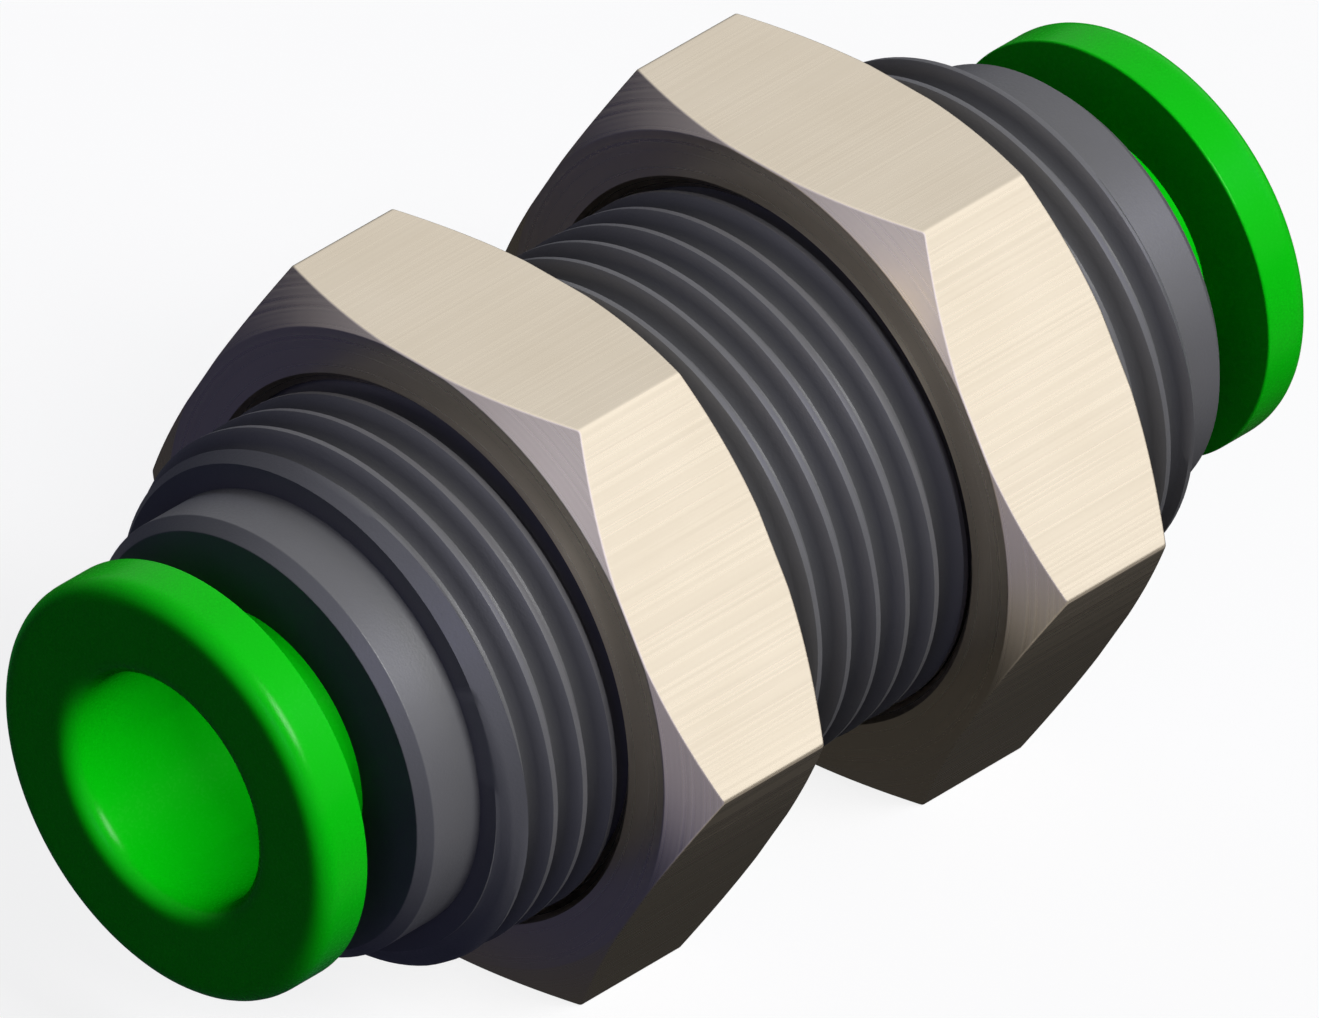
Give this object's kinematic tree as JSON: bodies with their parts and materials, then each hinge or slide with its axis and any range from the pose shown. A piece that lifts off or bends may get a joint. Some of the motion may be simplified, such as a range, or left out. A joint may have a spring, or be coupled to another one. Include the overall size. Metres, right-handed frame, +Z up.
{
  "type": "bulkhead push-fit tube union",
  "caption": "Bulkhead push-fit tube union: threaded black barrel with two hexagon nuts, stepped guide rings and green release sleeves.",
  "frame": {"origin": "middle of the union, on the tube axis", "axes": "+X along the tube axis, away from the front end; +Z up, square to a flat of each nut; the part lies on the nuts' lower flats"},
  "size_m": [0.0338, 0.0196, 0.017],
  "materials": {
    "barrel": "dark grey glass-filled polymer with a fine outer thread",
    "nut": "nickel-plated brass, machined, slightly warm",
    "guide_ring": "dark grey moulded polymer",
    "release_sleeve": "green moulded acetal",
    "lock_claws": "bright stainless spring sheet",
    "claw_seat": "turned brass",
    "seal_ring": "black nitrile rubber"
  },
  "bodies": {
    "union": {"barrel": "barrel", "guide_ring_front": "guide_ring", "guide_ring_back": "guide_ring", "lock_claws_front": "lock_claws", "lock_claws_back": "lock_claws", "claw_seat_front": "claw_seat", "claw_seat_back": "claw_seat", "seal_ring_front": "seal_ring", "seal_ring_back": "seal_ring"},
    "sleeve_front": {"release_sleeve_front": "release_sleeve"},
    "sleeve_back": {"release_sleeve_back": "release_sleeve"},
    "nut_front": {"nut_front": "nut"},
    "nut_back": {"nut_back": "nut"}
  },
  "joints": [
    {"name": "release_front", "type": "slide", "parent": "union", "child": "sleeve_front", "axis": [1, 0, 0], "range_m": [0, 0.0013], "stiffness_N_per_m": 2000, "deforming": ["lock_claws_front"]},
    {"name": "release_back", "type": "slide", "parent": "union", "child": "sleeve_back", "axis": [-1, 0, 0], "range_m": [0, 0.0013], "stiffness_N_per_m": 2000, "deforming": ["lock_claws_back"]},
    {"name": "nut_front_travel", "type": "slide", "parent": "union", "child": "nut_front", "axis": [1, 0, 0], "range_m": [-0.003, 0.003]},
    {"name": "nut_back_travel", "type": "slide", "parent": "union", "child": "nut_back", "axis": [-1, 0, 0], "range_m": [-0.003, 0.003]}
  ]
}
